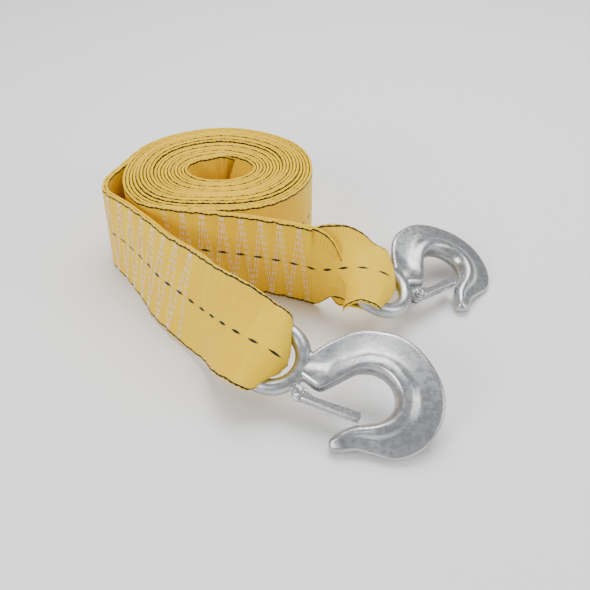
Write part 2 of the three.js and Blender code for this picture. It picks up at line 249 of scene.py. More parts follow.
# Lights: name, place in metres, turn in degrees, size and power.
LIGHTS = (
    ("overhead", (0.1, 0.45, 1.0), (-24, 0, 0), 0.9, 15),
    ("left", (-0.75, -0.75, 0.6), (60, 0, -45), 0.5, 9),
    ("right", (0.9, -0.3, 0.5), (65, 0, 70), 0.6, 4),
)


class StrapSizes(bpy.types.PropertyGroup):
    """Sizes of the woven and sewn parts."""

    width: bpy.props.FloatProperty(
        name="Webbing width", description="Width of the webbing", default=50.8 * MM, unit="LENGTH")
    thickness: bpy.props.FloatProperty(
        name="Webbing thickness", description="Thickness of one layer", default=1.6 * MM, unit="LENGTH")
    rib_pitch: bpy.props.FloatProperty(
        name="Rib pitch", description="Distance between two cross ribs", default=1.15 * MM, unit="LENGTH")
    warp_pitch: bpy.props.FloatProperty(
        name="Warp pitch", description="Distance between two long yarns", default=1.3 * MM, unit="LENGTH")
    stitch_step: bpy.props.FloatProperty(
        name="Stitch step", description="Advance of one stitch line", default=5.6 * MM, unit="LENGTH")
    stitch_length: bpy.props.FloatProperty(
        name="Stitch length", description="Length of one stitch", default=3.7 * MM, unit="LENGTH")
    thread_radius: bpy.props.FloatProperty(
        name="Thread radius", description="Radius of the sewing thread", default=0.3 * MM, unit="LENGTH")
    pucker_depth: bpy.props.FloatProperty(
        name="Pucker depth", description="How deep a stitch line pulls in", default=0.4 * MM, unit="LENGTH")


class StrapFinishes(bpy.types.PropertyGroup):
    """Colours of the finishes."""

    yellow: bpy.props.FloatVectorProperty(
        name="Webbing", description="Dyed polyester", subtype="COLOR", default=(0.88, 0.6, 0.0))
    # Painted shade: the darker colour laid between the yarns, away from the rib crowns.
    shade: bpy.props.FloatVectorProperty(
        name="Webbing shade", description="Between the yarns", subtype="COLOR", default=(0.85, 0.46, 0.0))
    pale: bpy.props.FloatVectorProperty(
        name="Highlight", description="Crown of the ribs", subtype="COLOR", default=(0.95, 0.74, 0.01))
    tracer: bpy.props.FloatVectorProperty(
        name="Tracer", description="Black marker yarn", subtype="COLOR", default=(0.012, 0.011, 0.014))
    thread: bpy.props.FloatVectorProperty(
        name="Thread", description="Thread of the sewn zones", subtype="COLOR", default=(0.95, 0.74, 0.6))
    zinc: bpy.props.FloatVectorProperty(
        name="Zinc", description="Plated forging", subtype="COLOR", default=(0.52, 0.53, 0.545))
    steel: bpy.props.FloatVectorProperty(
        name="Sheet steel", description="Plated latch", subtype="COLOR", default=(0.62, 0.63, 0.65))
    floor: bpy.props.FloatVectorProperty(
        name="Floor", description="Plain pale floor", subtype="COLOR", default=(0.93, 0.93, 0.93))


def unit(vectors):
    """Each vector divided by its own length."""
    vectors = np.asarray(vectors, float)
    return vectors / np.linalg.norm(vectors, axis=-1, keepdims=True)


def smooth_step(t):
    """Zero to one with level ends: three t squared less two t cubed, with t held from 0 to 1."""
    t = np.clip(t, 0, 1)
    return t * t * (3 - 2 * t)


def hook_frame(end):
    """Axes, pivot and eye centre of a hook: Z is the latch hinge's axis, X the way of the pull
    made square to it, and the eye lies a fixed distance from the pivot along X and Y."""
    joint = next(j for j in frame["joints"] if j["name"] == f"latch_{end}_hinge")
    mount = next(m for m in frame["record"]["mounts"] if m["name"] == f"{end}_hook_bowl")
    z = unit(joint["axis"])
    x = np.array(mount["axis"], float)
    x = unit(x - z * (x @ z))
    y = np.cross(z, x)
    pivot = np.array(joint["pos_m"], float)
    eye = pivot - (PIVOT_FROM_EYE[0] * x + PIVOT_FROM_EYE[1] * y) * MM
    return {"eye": eye, "pivot": pivot, "x": x, "y": y, "z": z}


HOOKS = {end: hook_frame(end) for end in ("front", "rear")}

# The foot of the roll's middle, worked back from the front eye, a hair above the floor.
FLOOR_GAP = 0.143 * MM
ROLL_FOOT = np.append(HOOKS["front"]["eye"][:2] - np.array(FRONT_EYE_FROM_ROLL) * MM, FLOOR_GAP)


def to_row(points, hook, origin="eye"):
    """Points of a hook's own frame, in millimetres, carried to the frame of the whole part:
    the origin plus each coordinate times its axis."""
    points = np.asarray(points, float) * MM
    return hook[origin] + points @ np.stack([hook["x"], hook["y"], hook["z"]])


def mesh_from(name, points, faces):
    """A mesh object from an array of points and a list of faces."""
    mesh = bpy.data.meshes.new(name)
    mesh.from_pydata(np.asarray(points).tolist(), [], [list(map(int, face)) for face in faces])
    mesh.update()
    thing = bpy.data.objects.new(name, mesh)
    bpy.context.scene.collection.objects.link(thing)
    return thing


def grid_faces(rows, columns, wrap=True):
    """Quads of a grid of points, closed round each row when wrap is set."""
    across = columns if wrap else columns - 1
    row, column = np.meshgrid(np.arange(rows - 1), np.arange(across), indexing="ij")
    a = row * columns + column
    b = row * columns + (column + 1) % columns
    return np.stack([a, b, b + columns, a + columns], axis=-1).reshape(-1, 4)


def outwards(thing):
    """Turn the faces so that the closed mesh has a volume above zero: the sum over its
    triangles of a dot (b cross c)."""
    mesh = thing.data
    mesh.calc_loop_triangles()
    corners = np.zeros(len(mesh.loop_triangles) * 3, np.int32)
    mesh.loop_triangles.foreach_get("vertices", corners)
    points = np.zeros(len(mesh.vertices) * 3)
    mesh.vertices.foreach_get("co", points)
    a, b, c = np.moveaxis(points.reshape(-1, 3)[corners.reshape(-1, 3)], 1, 0)
    if np.einsum("ij,ij->i", a, np.cross(b, c)).sum() < 0:
        mesh.flip_normals()


def smooth(thing):
    """Smooth shading on every face."""
    thing.data.polygons.foreach_set("use_smooth", [True] * len(thing.data.polygons))


def capped_tube(rings):
    """Points and faces of a tube through rings, closed by a fan at each end."""
    rows, columns = rings.shape[:2]
    points = np.concatenate([rings.reshape(-1, 3), rings[[0, -1]].mean(axis=1)])
    faces = grid_faces(rows, columns).tolist()
    around = np.arange(columns)
    after = (around + 1) % columns
    first, last = rows * columns, rows * columns + 1
    faces += np.stack([after, around, np.full(columns, first)], axis=1).tolist()
    end = (rows - 1) * columns
    faces += np.stack([around + end, after + end, np.full(columns, last)], axis=1).tolist()
    return points, faces


def add_uv(thing, name, values):
    """A UV map from one pair of values for each vertex."""
    mesh = thing.data
    layer = mesh.uv_layers.new(name=name)
    loops = np.zeros(len(mesh.loops), np.int32)
    mesh.loops.foreach_get("vertex_index", loops)
    layer.data.foreach_set("uv", np.asarray(values, np.float32)[loops].ravel())


# Path of the webbing.


def travelled(points):
    """Length of the path up to each point."""
    return np.append(0, np.cumsum(np.linalg.norm(np.diff(points, axis=0), axis=1)))


def left_to_go(points):
    """Length of the path from each point to its end."""
    return travelled(points[::-1])[::-1]


def bore_radius(angle):
    """Distance from the roll's centre to the bore's wall: an oval set a little to the front."""
    turn = np.radians(angle)
    oval = np.hypot(BORE_HALF_WIDTH * np.cos(turn), BORE_HALF_LENGTH * np.sin(turn))
    return BORE_HALF_LENGTH * BORE_HALF_WIDTH / oval - BORE_SHIFT * np.sin(turn)


def air_at(angle):
    """Air between two turns, eased from one eighth of the circle to the next."""
    eighths = len(AIR_BETWEEN_TURNS)
    place = (np.asarray(angle) / 360 % 1) * eighths
    first = np.floor(place).astype(int)
    values = np.array(AIR_BETWEEN_TURNS)
    low, high = values[first % eighths], values[(first + 1) % eighths]
    return low + (high - low) * smooth_step(place - first)


def layer_radius(angle, layer, thickness):
    """Bore radius, half a thickness, and the layer's number of pitches."""
    return bore_radius(angle) + thickness / 2 + layer * (thickness + air_at(angle))


def polar(angle, radius, height):
    """Points at an angle and a radius about the roll's centre, in millimetres."""
    turn = np.radians(angle)
    return np.stack([radius * np.cos(turn), radius * np.sin(turn), np.full_like(turn, height)], axis=-1)


def chain(points, samples):
    """Centripetal Catmull-Rom curve through points: each stretch blends the three lines through
    its neighbours, with knots at the square root of the distances. Gives points and knot places."""
    points = np.vstack([2 * points[0] - points[1], points, 2 * points[-1] - points[-2]])
    knots = np.append(0, np.cumsum(np.sqrt(np.linalg.norm(np.diff(points, axis=0), axis=1))))
    pieces = len(points) - 3
    place = np.linspace(0, pieces, samples)
    first = np.minimum(place.astype(int), pieces - 1)
    p = [points[first + i] for i in range(4)]
    k = [knots[first + i][:, None] for i in range(4)]
    t = k[1] + (place - first)[:, None] * (k[2] - k[1])
    a = [((k[i + 1] - t) * p[i] + (t - k[i]) * p[i + 1]) / (k[i + 1] - k[i]) for i in range(3)]
    b = [((k[i + 2] - t) * a[i] + (t - k[i]) * a[i + 1]) / (k[i + 2] - k[i]) for i in range(2)]
    return ((k[2] - t) * b[0] + (t - k[1]) * b[1]) / (k[2] - k[1]), place


def evenly(points, step, *others):
    """The same run at even steps of its length, with other values carried along."""
    place = travelled(points)
    count = max(int(round(place[-1] / step)), 2) + 1
    wanted = np.linspace(0, place[-1], count)
    return [np.stack([np.interp(wanted, place, column) for column in values.T], axis=1)
            for values in (points, *others)]


def run_frames(run):
    """Adds the direction of travel, which is the path's slope, makes the across direction
    square to it, and adds the outward side, which is the first cross the second."""
    along = unit(np.gradient(run["centre"], axis=0))
    across = unit(run["across"] - along * np.sum(run["across"] * along, axis=1, keepdims=True))
    return {**run, "along": along, "across": across, "out": np.cross(along, across)}


def stations(centre, across, width, thickness, gather=None, sewn=None, eye=None, aside=None):
    """One stretch of webbing: middle line, cross direction, width, thickness, gather and sewn
    share, and the eye it must clear with the way in which it does."""
    count = len(centre)
    zero = np.zeros(count)
    return {
        "centre": np.asarray(centre, float),
        "across": np.broadcast_to(across, (count, 3)).astype(float),
        "width": np.broadcast_to(width, count).astype(float),
        "thickness": np.broadcast_to(thickness, count).astype(float),
        "gather": zero if gather is None else gather,
        "sewn": zero if sewn is None else sewn,
        "eye": np.broadcast_to(np.zeros(3) if eye is None else eye, (count, 3)).astype(float),
        "aside": np.broadcast_to(np.zeros(3) if aside is None else aside, (count, 3)).astype(float),
    }


def join_runs(*runs):
    """Stretches of webbing one after another."""
    return {key: np.concatenate([run[key] for run in runs]) for key in runs[0]}


def turned_round(run):
    """A stretch of webbing travelled the other way."""
    return {key: values[::-1] for key, values in run.items()}


def strand(start_layer, last_turn, sizes):
    """One strand of the roll from the fold outwards: a spiral that adds two layers a turn, with
    a bell-shaped kink over the fold that dies away from layer to layer."""
    thickness, width = sizes.thickness / MM, sizes.width / MM
    turn = np.linspace(0, last_turn, int(last_turn / TURN_STEP) + 1)
    angle = FOLD_ANGLE + turn
    layer = start_layer + 2 * turn / 360
    radius = layer_radius(angle, layer, thickness)
    around = (angle - KINK_ANGLE + 180) % 360 - 180
    kink = KINK_DEPTH * np.exp(-(around / KINK_SPREAD) ** 2 - layer / KINK_LAYERS)
    centre = polar(angle, radius + kink, width / 2)
    centre[:, 2] += rise(angle, layer, 2 * FULL_TURNS)
    return stations(centre, UP, width, thickness)


def rise(angle, layer, layers):
    """Height of a turn above the floor: one smooth step up at the ring layer, and a sine of the
    layer and the angle by which every turn wanders. Both die away towards the leads."""
    turn = np.radians(angle)
    step = smooth_step((layer - RING_LAYER) / RING_SOFTNESS) * RING_RISE
    by_layer, by_angle = WANDER_PHASES
    wander = 0.5 + 0.5 * np.sin(by_layer * layer + by_angle * np.sin(turn) + np.sin(2 * turn))
    return (step + WANDER * wander) * smooth_step((layers - RISE_END - layer) / RISE_FADE)


def lead(start_layer, last_turn, route, plain, tail_length, sizes):
    """From the last two stations of a strand through the route's points. The across direction
    is the upright turned about the way of travel by the lean."""
    thickness, width = sizes.thickness / MM, sizes.width / MM
    reach = layer_radius(180, 2 * FULL_TURNS + 1, thickness)
    ends = np.array([last_turn - STRAND_STEP, last_turn], float)
    angle = FOLD_ANGLE + ends
    before = polar(angle, layer_radius(angle, start_layer + 2 * ends / 360, thickness), width / 2)
    route = np.array(route, float)
    points = np.vstack([before, polar(route[:, 0], reach + route[:, 1], width / 2)])
    leans = np.concatenate([[0, 0], route[:, 2]])
    centre, place = chain(points, LEAD_SAMPLES)
    lean = np.interp(place, np.arange(len(leans)), leans)
    centre, lean = evenly(centre, LEAD_STEP, lean[:, None])
    along = unit(np.gradient(centre, axis=0))
    left = unit(np.cross(UP, along))
    lean = np.radians(lean)
    across = UP * np.cos(lean) + left * np.sin(lean)
    to_end = left_to_go(centre)
    sewn = smooth_step((to_end - plain) / SEWN_EASE) * smooth_step((tail_length - to_end) / SEWN_EASE)
    return stations(centre, across, width, thickness, sewn=sewn)


def fold(sizes):
    """The hairpin at the back of the bore: half a circle between the two innermost layers."""
    thickness, width = sizes.thickness / MM, sizes.width / MM
    outer = layer_radius(FOLD_ANGLE, 1, thickness)
    inner = layer_radius(FOLD_ANGLE, 0, thickness)
    turn = np.linspace(0, np.pi, FOLD_STEPS)[1:-1]
    outer += KINK_DEPTH * np.exp(-((FOLD_ANGLE - KINK_ANGLE) / KINK_SPREAD) ** 2 - 1 / KINK_LAYERS)
    inner += KINK_DEPTH * np.exp(-((FOLD_ANGLE - KINK_ANGLE) / KINK_SPREAD) ** 2)
    reach = (outer - inner) / 2
    middle = np.array([0, (outer + inner) / 2, width / 2])
    centre = middle + reach * np.stack([np.sin(turn), np.cos(turn), np.zeros_like(turn)], axis=1)
    return stations(centre, UP, width, thickness)


def bezier(start, start_pull, end_pull, end, t):
    """Cubic curve: the four points weighted by the terms of (1 - t + t) to the third power."""
    t = t[:, None]
    return ((1 - t) ** 3 * start + 3 * (1 - t) ** 2 * t * start_pull
            + 3 * (1 - t) * t ** 2 * end_pull + t ** 3 * end)


def trimmed(run, length):
    """The run without its last stretch."""
    kept = left_to_go(run["centre"]) >= length
    return {key: values[kept] for key, values in run.items()}


def loop(end_name, leading, sizes):
    """Over the near side of the eye's bar, round it and back on the far side: a cubic curve,
    half a circle about the bar and a cubic curve back, with the across direction turned from
    the lead's to the bar's by a smooth step and the width narrowed in the same way."""
    thickness, width = sizes.thickness / MM, sizes.width / MM
    framed = run_frames(leading)
    end = {key: framed[key][-1] for key in ("centre", "along", "across", "out")}
    clearance = EYE_BAR_RADIUS + LOOP_CLEARANCE + thickness / 2
    hook = HOOKS[end_name]
    turn = math.radians(STRAP_BEARING[end_name])
    strapwards = -(hook["x"] * math.cos(turn) + hook["y"] * math.sin(turn))
    eye = (hook["eye"] - ROLL_FOOT) / MM
    bar = eye + strapwards * EYE_RADIUS
    gathered = np.cross(strapwards, hook["z"])
    gathered = gathered if gathered @ end["across"] > 0 else -gathered
    bulk = thickness * width / LOOP_WIDTH
    seat = EYE_BAR_RADIUS + LOOP_CLEARANCE + LOOP_WIDTH ** 2 / (8 * EYE_RADIUS)
    wrap = seat + bulk / 2
    middle = bar - strapwards * LOOP_SLACK
    near = middle - hook["z"] * wrap
    far = middle + hook["z"] * wrap
    under = end["centre"] - end["out"] * (thickness + SEWN_GAP)
    t = np.linspace(0, 1, LOOP_STEPS)[1:-1]

    def run(start, finish, shoulder, lift, narrow_by, twist, aside):
        pull = np.linalg.norm(finish - start) / 3
        centre = bezier(start, start + end["along"] * pull, finish + strapwards * pull, finish, t)
        centre = centre + lift * (np.sin(np.pi * t) ** 2)[:, None]
        narrow = width + (shoulder - width) * smooth_step(t / narrow_by)
        ease = smooth_step((t - twist[0]) / (twist[1] - twist[0]))[:, None]
        across = unit(end["across"] * (1 - ease) + gathered * ease)
        return stations(centre, across, narrow, thickness, gather=t ** 2 * LOOP_GATHER,
                        eye=eye, aside=aside * clearance)

    around = np.radians(np.linspace(0, 180, WRAP_STEPS))
    hookwards, nearwards = np.sin(around)[:, None], np.cos(around)[:, None]
    ring = middle - strapwards * wrap * hookwards - hook["z"] * wrap * nearwards
    shoulder = np.where(around < np.pi / 2, LOOP_SHOULDER, LOOP_UNDER)
    squeezed = LOOP_WIDTH + (shoulder - LOOP_WIDTH) * np.abs(np.cos(around)) ** LOOP_FULLNESS
    bunched = LOOP_GATHER + (1 - LOOP_GATHER) * np.sin(around)
    wrapped = stations(ring, gathered, squeezed, thickness, gather=bunched)
    upward, forward = LOOP_LIFT[end_name]
    over = run(end["centre"], near, LOOP_SHOULDER, end["out"] * forward - hook["z"] * upward, 1,
               LOOP_TWIST[end_name], -hook["z"])
    back = run(under, far, LOOP_UNDER, hook["z"] * upward / 2, FAR_NARROWING, FAR_TWIST, hook["z"])
    return join_runs(over, wrapped, turned_round(back))


def tail(leading, length, sizes):
    """The folded-back end: the lead travelled back, one thickness and one gap behind it."""
    framed = turned_round(run_frames(leading))
    kept = travelled(framed["centre"]) < length
    gap = sizes.thickness / MM + SEWN_GAP
    centre = framed["centre"][kept] - framed["out"][kept] * gap
    return stations(centre, framed["across"][kept], sizes.width / MM, sizes.thickness / MM)


def to_row_run(run):
    """The run in metres in the whole part's frame, with its own frames and the length travelled."""
    run = dict(run)
    for key in ("width", "thickness", "aside"):
        run[key] = run[key] * MM
    for key in ("centre", "eye"):
        run[key] = run[key] * MM + ROLL_FOOT
    run = run_frames(run)
    run["travelled"] = travelled(run["centre"])
    return run


def webbing_runs(sizes):
    """Both leads and the whole path, from the front cut end through the roll to the rear one.
    The front half is travelled inwards, so its faces and what bends them change sides."""
    leads, halves = {}, {}
    for name, layer, last_turn, route, plain, tail_length in ENDS:
        leading = trimmed(lead(layer, last_turn, route, plain, tail_length, sizes), LOOP_TRIM[name])
        rolled = strand(layer, last_turn - STRAND_STEP, sizes)
        joined = {key: values[1:] for key, values in leading.items()}
        halves[name] = join_runs(
            rolled, joined, loop(name, leading, sizes), tail(leading, tail_length, sizes))
        leads[name] = to_row_run(leading)
    inwards = turned_round(halves["front"])
    inwards["gather"], inwards["sewn"] = -inwards["gather"], -inwards["sewn"]
    return {**leads, "whole": to_row_run(join_runs(inwards, fold(sizes), halves["rear"]))}


def clear_of_eye(middle, run):
    """How far each point of the middle surface moves aside to lie over the eye's round bar: up
    to the height of a circle about the bar, root of reach squared less distance squared, and
    eased out beside it."""
    reach = np.maximum(np.linalg.norm(run["aside"], axis=1), 1e-9)[:, None]
    aside = run["aside"] / reach
    local = middle - run["eye"][:, None]
    depth = np.einsum("ijk,ik->ij", local, aside)
    flat = np.linalg.norm(local - depth[..., None] * aside[:, None], axis=2)
    beside = np.abs(flat - EYE_RADIUS * MM)
    need = np.sqrt(np.clip(reach ** 2 - beside ** 2, 0, None))
    near = smooth_step((CLEARING_REACH * reach - beside) / reach)
    shift = near * np.clip(need - depth, 0, 2 * reach)
    return shift[..., None] * aside[:, None]


def webbing_sections(run, sizes):
    """Closed sections: across from edge to edge on one face and back on the other, half a
    thickness off the middle line, with a quarter circle at each edge. Where the webbing gathers,
    the middle line is a parabola plus a cosine of a few waves, and in the sewn zones the stitch
    lines pull it in. Gives the points and their places along and across the flat webbing."""
    half = sizes.width / 2
    flat = np.concatenate([[-1, -0.985, -0.95], np.linspace(-0.9, 0.9, 13), [0.95, 0.985, 1]])
    place = np.concatenate([flat, flat[::-1]])
    side = np.concatenate([np.ones(len(flat)), -np.ones(len(flat))])
    edge = np.clip((1 - np.abs(place)) / EDGE_SHARE, 0, 1)
    round_edge = np.sqrt(1 - (1 - edge) ** 2) * (1 - EDGE_THICKNESS) + EDGE_THICKNESS
    x = place[None] * run["width"][:, None] / 2
    arch = run["gather"][:, None] * CROWN * MM
    folds = run["gather"][:, None] * FOLD_DEPTH * MM
    wave = FOLD_WAVES * np.pi * place[None]
    y = arch * (ARCH_MIDDLE - place[None] ** 2) + folds * np.cos(wave)
    slope = -2 * arch * place[None] - folds * FOLD_WAVES * np.pi * np.sin(wave)
    slope = slope / (run["width"][:, None] / 2)
    y = y - run["sewn"][:, None] * pucker(run["travelled"][:, None], place[None] * half, sizes, half)

    def placed(x, y):
        return (run["centre"][:, None]
                + run["across"][:, None] * x[..., None]
                + run["out"][:, None] * y[..., None])

    moved = clear_of_eye(placed(x, y), run)
    lift = side * round_edge * run["thickness"][:, None] / 2
    steep = np.sqrt(1 + slope ** 2)
    x = x - slope / steep * lift
    y = y + lift / steep
    along = np.broadcast_to(run["travelled"][:, None], x.shape)
    across = np.broadcast_to(place[None] * half, x.shape)
    return placed(x, y) + moved, np.stack([along, across], axis=-1)


# Finishes.


def node_group(name, inputs, outputs):
    """An empty shader node group with named sockets."""
    group = bpy.data.node_groups.new(name, "ShaderNodeTree")
    for label, kind, default in inputs:
        socket = group.interface.new_socket(label, in_out="INPUT", socket_type=kind)
        if default is not None:
            socket.default_value = default
    for label, kind in outputs:
        group.interface.new_socket(label, in_out="OUTPUT", socket_type=kind)
    entry = group.nodes.new("NodeGroupInput")
    leave = group.nodes.new("NodeGroupOutput")
    return group, entry, leave


def maths(tree, operation, first, second=None):
    """A Math node with linked or plain inputs."""
    node = tree.nodes.new("ShaderNodeMath")
    node.operation = operation
    for index, value in enumerate((first, second)):
        if value is None:
            continue
        if isinstance(value, (int, float)):
            node.inputs[index].default_value = value
        else:
            tree.links.new(value, node.inputs[index])
    return node.outputs[0]


def ranged(tree, value, low, high, to_low=0.0, to_high=1.0):
    """A Map Range node with a smooth step."""
    node = tree.nodes.new("ShaderNodeMapRange")
    node.interpolation_type = "SMOOTHSTEP"
    tree.links.new(value, node.inputs["Value"])
    node.inputs["From Min"].default_value = low
    node.inputs["From Max"].default_value = high
    node.inputs["To Min"].default_value = to_low
    node.inputs["To Max"].default_value = to_high
    return node.outputs["Result"]


def mixed(tree, factor, first, second):
    """A Mix node with linked or plain colours; its factor is socket 0, its colours 6 and 7."""
    node = tree.nodes.new("ShaderNodeMix")
    node.data_type = "RGBA"
    for index, value in ((0, factor), (6, first), (7, second)):
        socket = node.inputs[index]
        if isinstance(value, bpy.types.NodeSocket):
            tree.links.new(value, socket)
        elif isinstance(value, (int, float)):
            socket.default_value = value
        else:
            socket.default_value = (*value, 1)
    return node.outputs[2]


def noise(tree, vector, scale, detail=3.0, roughness=0.5):
    """A Noise Texture's value."""
    node = tree.nodes.new("ShaderNodeTexNoise")
    tree.links.new(vector, node.inputs["Vector"])
    node.inputs["Scale"].default_value = scale
    node.inputs["Detail"].default_value = detail
    node.inputs["Roughness"].default_value = roughness
    return node.outputs["Fac"]


def waves(tree, value, period):
    """Sine of a length, with the given period."""
    return maths(tree, "SINE", maths(tree, "MULTIPLY", value, 2 * math.pi / period))


def weave_group(sizes):
    """Cross ribs and lengthwise yarns of the webbing, as a height and a mask of the rib crowns, by which
    shade
    is painted between the yarns: a sine along plus the product of the sines along and across."""
    group, entry, leave = node_group(
        "Ribbed weave",
        [("Along", "NodeSocketFloat", 0.0), ("Across", "NodeSocketFloat", 0.0)],
        [("Height", "NodeSocketFloat"), ("Crown", "NodeSocketFloat")])
    ribs = waves(group, entry.outputs["Along"], sizes.rib_pitch)
    yarns = waves(group, entry.outputs["Across"], sizes.warp_pitch)
    knuckle = maths(group, "MULTIPLY", maths(group, "MULTIPLY", ribs, yarns), 0.25)
    height = maths(group, "ADD", maths(group, "MULTIPLY", ribs, 0.75), knuckle)
    group.links.new(height, leave.inputs["Height"])
    group.links.new(ranged(group, height, -0.8, 0.8), leave.inputs["Crown"])
    return group


def tracer_group():
    """Black marker yarns: a line along each edge that waves by two sines, and lens-shaped dashes
    along the middle, where a raised sine is wider than the distance to it."""
    group, entry, leave = node_group(
        "Tracer yarns",
        [("Along", "NodeSocketFloat", 0.0), ("Across", "NodeSocketFloat", 0.0)],
        [("Mask", "NodeSocketFloat")])
    along, across = entry.outputs["Along"], entry.outputs["Across"]
    wave = waves(group, along, TRACER_WAVE[0] * MM)
    ripple = waves(group, along, TRACER_RIPPLE[0] * MM)
    reach = maths(group, "ABSOLUTE", across)
    line = maths(group, "ADD", maths(group, "MULTIPLY", wave, TRACER_WAVE[1] * MM), TRACER_PLACE * MM)
    line = maths(group, "ADD", line, maths(group, "MULTIPLY", ripple, TRACER_RIPPLE[1] * MM))
    off = maths(group, "ABSOLUTE", maths(group, "SUBTRACT", reach, line))
    plain, change = TRACER_HALF_WIDTH
    half = maths(group, "ADD", maths(group, "MULTIPLY", ripple, change * MM), plain * MM)
    edge = maths(group, "GREATER_THAN", half, off)
    dash = maths(group, "ADD", waves(group, along, DASH_PERIOD * MM), DASH_OFFSET)
    lens = maths(group, "MULTIPLY", dash, DASH_HALF_WIDTH * MM)
    middle = maths(group, "GREATER_THAN", lens, reach)
    group.links.new(maths(group, "MAXIMUM", edge, middle), leave.inputs["Mask"])
    return group


def bumped(tree, shader, height, strength, distance):
    """A Bump node that feeds the shader's normal."""
    bump = tree.nodes.new("ShaderNodeBump")
    bump.inputs["Strength"].default_value = strength
    bump.inputs["Distance"].default_value = distance
    tree.links.new(height, bump.inputs["Height"])
    tree.links.new(bump.outputs["Normal"], shader.inputs["Normal"])


def new_material(name):
    """A node material with a Principled shader."""
    material = bpy.data.materials.new(name)
    material.use_nodes = True
    tree = material.node_tree
    return material, tree, tree.nodes["Principled BSDF"]


def webbing_material(sizes, finishes):
    """Dyed polyester webbing: ribs, yarns, tracers, painted shade between the yarns, and slow changes of
    colour.
    """
    material, tree, shader = new_material("webbing yellow")
    place = tree.nodes.new("ShaderNodeUVMap")
    place.uv_map = "webbing"
    split = tree.nodes.new("ShaderNodeSeparateXYZ")
    tree.links.new(place.outputs["UV"], split.inputs["Vector"])
    weave = tree.nodes.new("ShaderNodeGroup")
    weave.node_tree = weave_group(sizes)
    tracer = tree.nodes.new("ShaderNodeGroup")
    tracer.node_tree = tracer_group()
    for group in (weave, tracer):
        tree.links.new(split.outputs["X"], group.inputs["Along"])
        tree.links.new(split.outputs["Y"], group.inputs["Across"])
    cloudy = noise(tree, place.outputs["UV"], 38.0, 3.0, 0.6)
    streak_place = tree.nodes.new("ShaderNodeMapping")
    streak_place.inputs["Scale"].default_value = (260.0, 28.0, 1.0)
    tree.links.new(place.outputs["UV"], streak_place.inputs["Vector"])
    streak = noise(tree, streak_place.outputs["Vector"], 1.0, 2.0, 0.5)
    # Painted shade: the colour darkens away from the rib crowns, between the yarns.
    body = mixed(tree, weave.outputs["Crown"], finishes.shade, finishes.yellow)
    body = mixed(tree, ranged(tree, cloudy, 0.35, 0.75, 0.0, 0.25), body, finishes.pale)
    body = mixed(tree, ranged(tree, streak, 0.5, 0.8, 0.0, 0.5), body, finishes.pale)
    colour = mixed(tree, tracer.outputs["Mask"], body, finishes.tracer)
    tree.links.new(colour, shader.inputs["Base Color"])
    tree.links.new(ranged(tree, streak, 0.2, 0.8, 0.62, 0.5), shader.inputs["Roughness"])
    shader.inputs["Sheen Weight"].default_value = 0.04
    shader.inputs["Specular IOR Level"].default_value = 0.25
    raised = maths(tree, "MULTIPLY", tracer.outputs["Mask"], 0.8)
    height = maths(tree, "ADD", weave.outputs["Height"], raised)
    bumped(tree, shader, height, 0.55, 0.12 * MM)
    return material


def grain_group():
    """Cast and blasted skin of a forging: two sizes of dimple as a height."""
    group, entry, leave = node_group(
        "Forged skin",
        [("Vector", "NodeSocketVector", None), ("Fine", "NodeSocketFloat", 1500.0),
         ("Coarse", "NodeSocketFloat", 380.0)],
        [("Height", "NodeSocketFloat"), ("Patch", "NodeSocketFloat")])
    vector = entry.outputs["Vector"]
    fine = group.nodes.new("ShaderNodeTexNoise")
    coarse = group.nodes.new("ShaderNodeTexNoise")
    for node, label in ((fine, "Fine"), (coarse, "Coarse")):
        group.links.new(vector, node.inputs["Vector"])
        group.links.new(entry.outputs[label], node.inputs["Scale"])
        node.inputs["Detail"].default_value = 2.0
    both = maths(group, "ADD", maths(group, "MULTIPLY", fine.outputs["Fac"], 0.6), coarse.outputs["Fac"])
    group.links.new(both, leave.inputs["Height"])
    group.links.new(coarse.outputs["Fac"], leave.inputs["Patch"])
    return group


def zinc_material(name, colour, roughness, grain, speckle, fine=1500.0, coarse=380.0):
    """Bright zinc over forged or pressed steel: its grain in millimetres as bump and as changing
    gloss, slow duller clouds, and dark specks of the given strength."""
    material, tree, shader = new_material(name)
    place = tree.nodes.new("ShaderNodeTexCoord")
    skin = tree.nodes.new("ShaderNodeGroup")
    skin.node_tree = bpy.data.node_groups.get("Forged skin") or grain_group()
    skin.inputs["Fine"].default_value = fine
    skin.inputs["Coarse"].default_value = coarse
    tree.links.new(place.outputs["Object"], skin.inputs["Vector"])
    clouds = noise(tree, place.outputs["Object"], 60.0, 3.0, 0.6)
    dull = tuple(0.62 * channel for channel in colour)
    dark = tuple(0.3 * channel for channel in colour)
    cloudy = mixed(tree, ranged(tree, clouds, 0.35, 0.7, 0.0, 0.45), tuple(colour), dull)
    pits = ranged(tree, noise(tree, place.outputs["Object"], 2600.0, 1.0, 0.5), 0.5, 0.66)
    pits = maths(tree, "MULTIPLY", pits, ranged(tree, clouds, 0.4, 0.6, 0.25, 1.0))
    pits = maths(tree, "MULTIPLY", pits, speckle)
    tree.links.new(mixed(tree, pits, cloudy, dark), shader.inputs["Base Color"])
    patchy = ranged(tree, skin.outputs["Patch"], 0.3, 0.7, roughness - 0.05, roughness + 0.09)
    spread = maths(tree, "ADD", patchy, ranged(tree, clouds, 0.3, 0.7, 0.0, 0.07))
    tree.links.new(spread, shader.inputs["Roughness"])
    shader.inputs["Metallic"].default_value = 0.95
    bumped(tree, shader, skin.outputs["Height"], 1.0, grain * MM)
    return material


def thread_material(finishes):
    """Twisted sewing thread, paler in small flecks that differ at random."""
    material, tree, shader = new_material("sewing thread")
    place = tree.nodes.new("ShaderNodeTexCoord")
    fuzz = noise(tree, place.outputs["Object"], 900.0, 2.0, 0.5)
    pale = tuple(min(1.0, 1.18 * channel) for channel in finishes.thread)
    colour = mixed(tree, ranged(tree, fuzz, 0.3, 0.7), tuple(finishes.thread), pale)
    tree.links.new(colour, shader.inputs["Base Color"])
    shader.inputs["Roughness"].default_value = 0.5
    bumped(tree, shader, fuzz, 0.4, 0.1 * MM)
    return material


